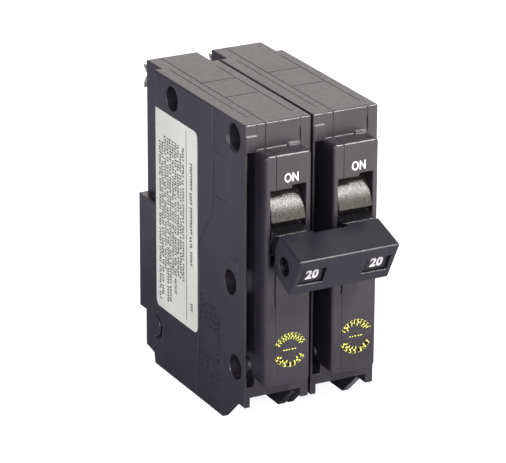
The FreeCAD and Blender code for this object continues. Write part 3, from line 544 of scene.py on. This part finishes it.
# Columns of raised marks: y, top, bottom and stroke width, in millimetres.
EMBOSS_COLUMNS = (
    (-36.2, -15.6, -23.0, 1.2),
    (-38.4, -17.6, -21.6, 0.9),
    (-41.0, -17.2, -23.4, 1.1),
    (-43.4, -17.2, -24.0, 1.4),
    (-45.6, -19.0, -31.5, 1.2),
    (-34.6, -31.0, -33.4, 1.2),
    (-36.8, -31.6, -35.4, 1.1),
    (-39.6, -31.8, -36.4, 1.3),
    (-42.6, -31.4, -38.4, 1.3),
    (-45.4, -30.6, -39.2, 1.1),
)
EMBOSS_RISE = 0.08 * MM
EMBOSS_STROKE = 0.34
EMBOSS_BAR = 0.36


def side_emboss():
    """Raised moulded marks low on the left side, greeked: short bars that spell nothing, coloured darker than the
    case as painted shade.
    """
    rng = random.Random(17)
    bm = bmesh.new()
    for y, top, bottom, wide in EMBOSS_COLUMNS:
        z = top
        while z > bottom:
            tall = rng.uniform(1.1, 1.7)
            bar_shift = rng.choice((-0.42, 0.42)) * wide
            strokes = ((0.0, EMBOSS_STROKE, wide), (bar_shift, tall * 0.75, EMBOSS_BAR))
            for shift, length, width in strokes:
                centre = Vector((panel_face, (y + shift) * MM, (z - length / 2) * MM))
                block(bm, centre, DOWN, BACK, (length * MM, width * MM, EMBOSS_RISE))
            z -= tall + rng.choice((0.25, 0.25, 0.9))
    return finished_mesh(bm, "side_emboss")


SEAM_PLACES = (-25.1, -38.0)
SEAM_CENTRE = 10.75 * MM
SEAM_SIZE = (9.9 * MM, 0.34 * MM, INK_THICK)


def seam_shade_strips():
    """Painted shade: two dark strips across each pole's top, laid over its cross grooves between its long parting
    lines.
    """
    bm = bmesh.new()
    for side in SIDES:
        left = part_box(f"case_cover_{side}")[0].x
        for y in SEAM_PLACES:
            block(bm, Vector((left + SEAM_CENTRE, y * MM, top_face)), RIGHT, BACK, SEAM_SIZE)
    return finished_mesh(bm, "seam_shade_strips")


add_piece("label_print", label_print(), BLACK_INK, "case")
# The side marks carry painted shade in their darker colour.
add_piece("side_emboss", side_emboss(), MARKS_SHADE, "case")
# Painted shade strips over the cross grooves on the top.
add_piece("seam_shade_strips", seam_shade_strips(), MARKS_SHADE, "case")


# ------------------------------------------------------------------ floor, lights and camera

FLOOR_HALF = 6.0
FLOOR_GAP = 0.1 * MM
FLOOR_GLOW = 0.90
WORLD_STRENGTH = 0.30
WHITE = (1.0, 1.0, 1.0, 1.0)


def make_floor():
    """Pale paper with painted light: pale in front of the object and to the right, painted shade behind and to the
    left; it looks white but reflects dimly.
    """
    shader = Shader("floor_paper")
    cloud = shader.noise(3, 3)
    toward = shader.along(shader.coords, (0.44, -0.82, 0.0))
    floor_painted_shade = shader.mix(cloud, (0.29, 0.28, 0.33), (0.32, 0.31, 0.36))
    floor_painted_light = shader.mix(cloud, (0.88, 0.83, 0.80), (0.93, 0.88, 0.85))
    # Painted light and shade: the floor's colour runs from dark behind the object to pale in front and to the
    # right.
    shader.colour(shader.mix(shader.span(toward, 0.0, 1.0, 0.09, 0.25), floor_painted_shade, floor_painted_light))
    shader.rough(shader.span(cloud, 0.7, 0.8))
    shader.gloss(0.1)
    rays = shader.add("ShaderNodeLightPath")
    glow = shader.add("ShaderNodeMath", operation="MULTIPLY")
    glow.inputs[1].default_value = FLOOR_GLOW
    shader.link(rays.outputs["Is Camera Ray"], glow.inputs[0])
    shader.bsdf.inputs["Emission Color"].default_value = WHITE
    shader.link(glow.outputs["Value"], shader.bsdf.inputs["Emission Strength"])
    bm = bmesh.new()
    bmesh.ops.create_grid(bm, x_segments=8, y_segments=8, size=FLOOR_HALF)
    mesh = finished_mesh(bm, "floor")
    mesh.materials.append(shader.material)
    floor = bpy.data.objects.new("floor", mesh)
    floor.location = (0, 0, cad_box[0].z - FLOOR_GAP)
    bpy.context.scene.collection.objects.link(floor)


# Area lights: place, target, size, watts and colour.
LIGHTS = {
    "key_light": ((0.33, -0.56, 0.60), (0, -0.05, 0.01), (0.16, 0.16), 18, (1.0, 0.985, 0.955)),
    "rear_panel": ((0.55, 1.0, 0.55), (0, 0, 0), (1.3, 0.8), 4.8, (1.0, 0.92, 0.85)),
    "front_fill": ((0.30, -1.0, 0.05), (0, -0.03, 0), (0.7, 0.5), 2.6, (1.0, 0.88, 0.83)),
    "left_fill": ((-0.95, -0.18, 0.14), (0, -0.03, 0), (0.25, 0.5), 7, (0.94, 0.92, 1.0)),
    "camera_fill": ((-0.44, -0.82, 0.36), (0, -0.03, 0), (0.5, 0.5), 7.5, (0.95, 0.94, 1.0)),
}


def area_light(name, place, target, size, watts, colour):
    data = bpy.data.lights.new(name, "AREA")
    data.shape = "RECTANGLE"
    data.size, data.size_y = size
    data.energy = watts
    data.color = colour
    light = bpy.data.objects.new(name, data)
    light.location = place
    light.rotation_mode = "QUATERNION"
    light.rotation_quaternion = (Vector(target) - Vector(place)).to_track_quat("-Z", "Y")
    bpy.context.scene.collection.objects.link(light)


def make_world():
    """A white backdrop that lights the object only dimly."""
    world = bpy.data.worlds.new("studio")
    bpy.context.scene.world = world
    world.use_nodes = True
    tree = world.node_tree
    back = tree.nodes["Background"]
    back.inputs["Color"].default_value = (0.86, 0.90, 1.0, 1.0)
    back.inputs["Strength"].default_value = WORLD_STRENGTH
    seen = tree.nodes.new("ShaderNodeBackground")
    seen.inputs["Color"].default_value = WHITE
    rays = tree.nodes.new("ShaderNodeLightPath")
    either = tree.nodes.new("ShaderNodeMixShader")
    tree.links.new(rays.outputs["Is Camera Ray"], either.inputs["Fac"])
    tree.links.new(back.outputs["Background"], either.inputs[1])
    tree.links.new(seen.outputs["Background"], either.inputs[2])
    tree.links.new(either.outputs["Shader"], tree.nodes["World Output"].inputs["Surface"])


CAMERA_PLACE = Vector((-365.11, -715.24, 292.83)) * MM
CAMERA_AZIMUTH = math.radians(28.017)
CAMERA_ELEVATION = math.radians(20.929)
CAMERA_ROLL = math.radians(0.255)
CAMERA_LENS = 227.54
CAMERA_SENSOR = 36.0
CAMERA_CLIP = (0.01, 20.0)


def make_camera():
    data = bpy.data.cameras.new("camera")
    data.sensor_width = CAMERA_SENSOR
    data.lens = CAMERA_LENS
    data.clip_start, data.clip_end = CAMERA_CLIP
    camera = bpy.data.objects.new("camera", data)
    level = math.cos(CAMERA_ELEVATION)
    back = Vector((-math.sin(CAMERA_AZIMUTH) * level, -math.cos(CAMERA_AZIMUTH) * level,
                   math.sin(CAMERA_ELEVATION)))
    turn = (-back).to_track_quat("-Z", "Y").to_matrix().to_4x4()
    roll = Matrix.Rotation(CAMERA_ROLL, 4, "Z")
    camera.matrix_world = Matrix.Translation(CAMERA_PLACE) @ turn @ roll
    bpy.context.scene.collection.objects.link(camera)
    bpy.context.scene.camera = camera


make_floor()
make_world()
bpy.context.scene.view_settings.view_transform = "Standard"
for name, settings in LIGHTS.items():
    area_light(name, *settings)
make_camera()
